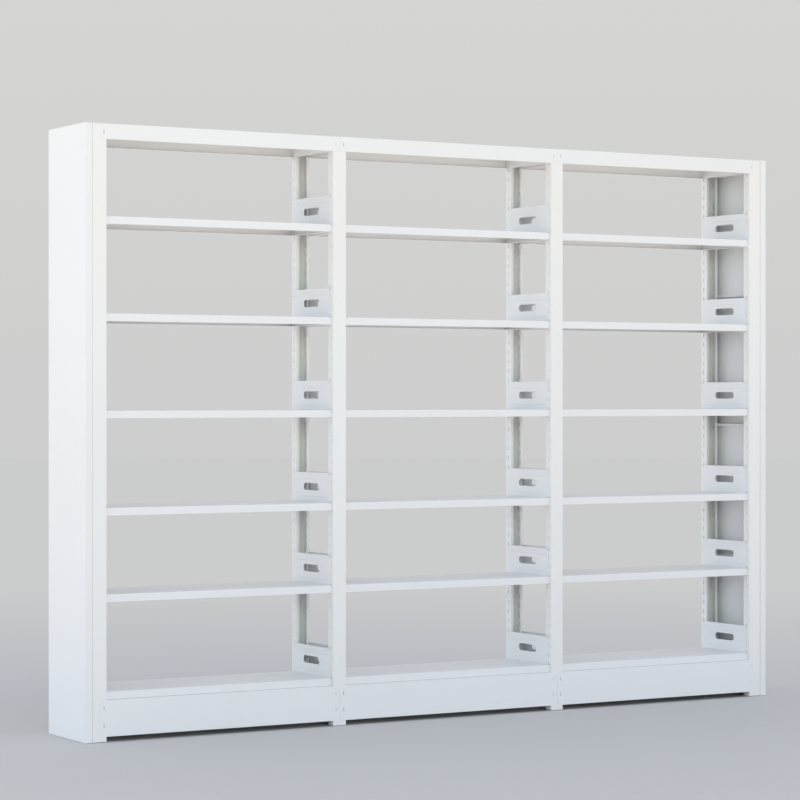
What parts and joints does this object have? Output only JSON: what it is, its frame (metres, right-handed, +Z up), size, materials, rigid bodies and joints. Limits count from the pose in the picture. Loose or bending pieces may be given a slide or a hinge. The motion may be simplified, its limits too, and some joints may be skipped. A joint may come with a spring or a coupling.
{
  "type": "double sided library shelving",
  "caption": "Open double sided steel library shelving: slotted uprights, lift-off shelf boards on hooked side plates, top boards, kick plates and folded end panels.",
  "frame": {"origin": "on the floor, under the middle of the rack", "axes": "+X along the run of bays, +Y through the depth away from the front face, +Z up"},
  "size_m": [2.763, 0.3, 2],
  "materials": {
    "post_paint": "satin powder coat, warm white",
    "cover_paint": "satin powder coat, cool white",
    "board_paint": "satin powder coat, cool white",
    "plate_paint": "satin powder coat, cool white",
    "panel_paint": "satin powder coat, cool white",
    "frame_paint": "satin powder coat",
    "foot_plastic": "moulded, grey",
    "zinc_steel": "zinc plated"
  },
  "bodies": {
    "rack": {"post_1_front": "post_paint", "post_1_rear": "post_paint", "post_2_front": "post_paint", "post_2_rear": "post_paint", "post_3_front": "post_paint", "post_3_rear": "post_paint", "post_4_front": "post_paint", "post_4_rear": "post_paint", "post_feet": "foot_plastic", "frame_ties": "frame_paint", "top_board_1": "cover_paint", "kick_plate_bay1_front": "cover_paint", "kick_plate_bay1_rear": "cover_paint", "side_plates_bay1_level1": "plate_paint", "side_plates_bay1_level2": "plate_paint", "side_plates_bay1_level3": "plate_paint", "side_plates_bay1_level4": "plate_paint", "side_plates_bay1_level5": "plate_paint", "side_plates_bay1_level6": "plate_paint", "top_board_2": "cover_paint", "kick_plate_bay2_front": "cover_paint", "kick_plate_bay2_rear": "cover_paint", "side_plates_bay2_level1": "plate_paint", "side_plates_bay2_level2": "plate_paint", "side_plates_bay2_level3": "plate_paint", "side_plates_bay2_level4": "plate_paint", "side_plates_bay2_level5": "plate_paint", "side_plates_bay2_level6": "plate_paint", "top_board_3": "cover_paint", "kick_plate_bay3_front": "cover_paint", "kick_plate_bay3_rear": "cover_paint", "side_plates_bay3_level1": "plate_paint", "side_plates_bay3_level2": "plate_paint", "side_plates_bay3_level3": "plate_paint", "side_plates_bay3_level4": "plate_paint", "side_plates_bay3_level5": "plate_paint", "side_plates_bay3_level6": "plate_paint", "end_panel_left": "panel_paint", "end_panel_right": "panel_paint", "panel_rails": "frame_paint", "panel_screws": "zinc_steel", "panel_nuts": "zinc_steel"},
    "shelf_bay1_level1_board": {"shelf_bay1_level1": "board_paint"},
    "shelf_bay1_level2_board": {"shelf_bay1_level2": "board_paint"},
    "shelf_bay1_level3_board": {"shelf_bay1_level3": "board_paint"},
    "shelf_bay1_level4_board": {"shelf_bay1_level4": "board_paint"},
    "shelf_bay1_level5_board": {"shelf_bay1_level5": "board_paint"},
    "shelf_bay1_level6_board": {"shelf_bay1_level6": "board_paint"},
    "shelf_bay2_level1_board": {"shelf_bay2_level1": "board_paint"},
    "shelf_bay2_level2_board": {"shelf_bay2_level2": "board_paint"},
    "shelf_bay2_level3_board": {"shelf_bay2_level3": "board_paint"},
    "shelf_bay2_level4_board": {"shelf_bay2_level4": "board_paint"},
    "shelf_bay2_level5_board": {"shelf_bay2_level5": "board_paint"},
    "shelf_bay2_level6_board": {"shelf_bay2_level6": "board_paint"},
    "shelf_bay3_level1_board": {"shelf_bay3_level1": "board_paint"},
    "shelf_bay3_level2_board": {"shelf_bay3_level2": "board_paint"},
    "shelf_bay3_level3_board": {"shelf_bay3_level3": "board_paint"},
    "shelf_bay3_level4_board": {"shelf_bay3_level4": "board_paint"},
    "shelf_bay3_level5_board": {"shelf_bay3_level5": "board_paint"},
    "shelf_bay3_level6_board": {"shelf_bay3_level6": "board_paint"}
  },
  "joints": [
    {"name": "shelf_bay1_level1_lift", "type": "slide", "parent": "rack", "child": "shelf_bay1_level1_board", "axis": [0, 0, 1], "range_m": [0, 0.13]},
    {"name": "shelf_bay1_level2_lift", "type": "slide", "parent": "rack", "child": "shelf_bay1_level2_board", "axis": [0, 0, 1], "range_m": [0, 0.13]},
    {"name": "shelf_bay1_level3_lift", "type": "slide", "parent": "rack", "child": "shelf_bay1_level3_board", "axis": [0, 0, 1], "range_m": [0, 0.13]},
    {"name": "shelf_bay1_level4_lift", "type": "slide", "parent": "rack", "child": "shelf_bay1_level4_board", "axis": [0, 0, 1], "range_m": [0, 0.13]},
    {"name": "shelf_bay1_level5_lift", "type": "slide", "parent": "rack", "child": "shelf_bay1_level5_board", "axis": [0, 0, 1], "range_m": [0, 0.13]},
    {"name": "shelf_bay1_level6_lift", "type": "slide", "parent": "rack", "child": "shelf_bay1_level6_board", "axis": [0, 0, 1], "range_m": [0, 0.13]},
    {"name": "shelf_bay2_level1_lift", "type": "slide", "parent": "rack", "child": "shelf_bay2_level1_board", "axis": [0, 0, 1], "range_m": [0, 0.13]},
    {"name": "shelf_bay2_level2_lift", "type": "slide", "parent": "rack", "child": "shelf_bay2_level2_board", "axis": [0, 0, 1], "range_m": [0, 0.13]},
    {"name": "shelf_bay2_level3_lift", "type": "slide", "parent": "rack", "child": "shelf_bay2_level3_board", "axis": [0, 0, 1], "range_m": [0, 0.13]},
    {"name": "shelf_bay2_level4_lift", "type": "slide", "parent": "rack", "child": "shelf_bay2_level4_board", "axis": [0, 0, 1], "range_m": [0, 0.13]},
    {"name": "shelf_bay2_level5_lift", "type": "slide", "parent": "rack", "child": "shelf_bay2_level5_board", "axis": [0, 0, 1], "range_m": [0, 0.13]},
    {"name": "shelf_bay2_level6_lift", "type": "slide", "parent": "rack", "child": "shelf_bay2_level6_board", "axis": [0, 0, 1], "range_m": [0, 0.13]},
    {"name": "shelf_bay3_level1_lift", "type": "slide", "parent": "rack", "child": "shelf_bay3_level1_board", "axis": [0, 0, 1], "range_m": [0, 0.13]},
    {"name": "shelf_bay3_level2_lift", "type": "slide", "parent": "rack", "child": "shelf_bay3_level2_board", "axis": [0, 0, 1], "range_m": [0, 0.13]},
    {"name": "shelf_bay3_level3_lift", "type": "slide", "parent": "rack", "child": "shelf_bay3_level3_board", "axis": [0, 0, 1], "range_m": [0, 0.13]},
    {"name": "shelf_bay3_level4_lift", "type": "slide", "parent": "rack", "child": "shelf_bay3_level4_board", "axis": [0, 0, 1], "range_m": [0, 0.13]},
    {"name": "shelf_bay3_level5_lift", "type": "slide", "parent": "rack", "child": "shelf_bay3_level5_board", "axis": [0, 0, 1], "range_m": [0, 0.13]},
    {"name": "shelf_bay3_level6_lift", "type": "slide", "parent": "rack", "child": "shelf_bay3_level6_board", "axis": [0, 0, 1], "range_m": [0, 0.13]}
  ]
}
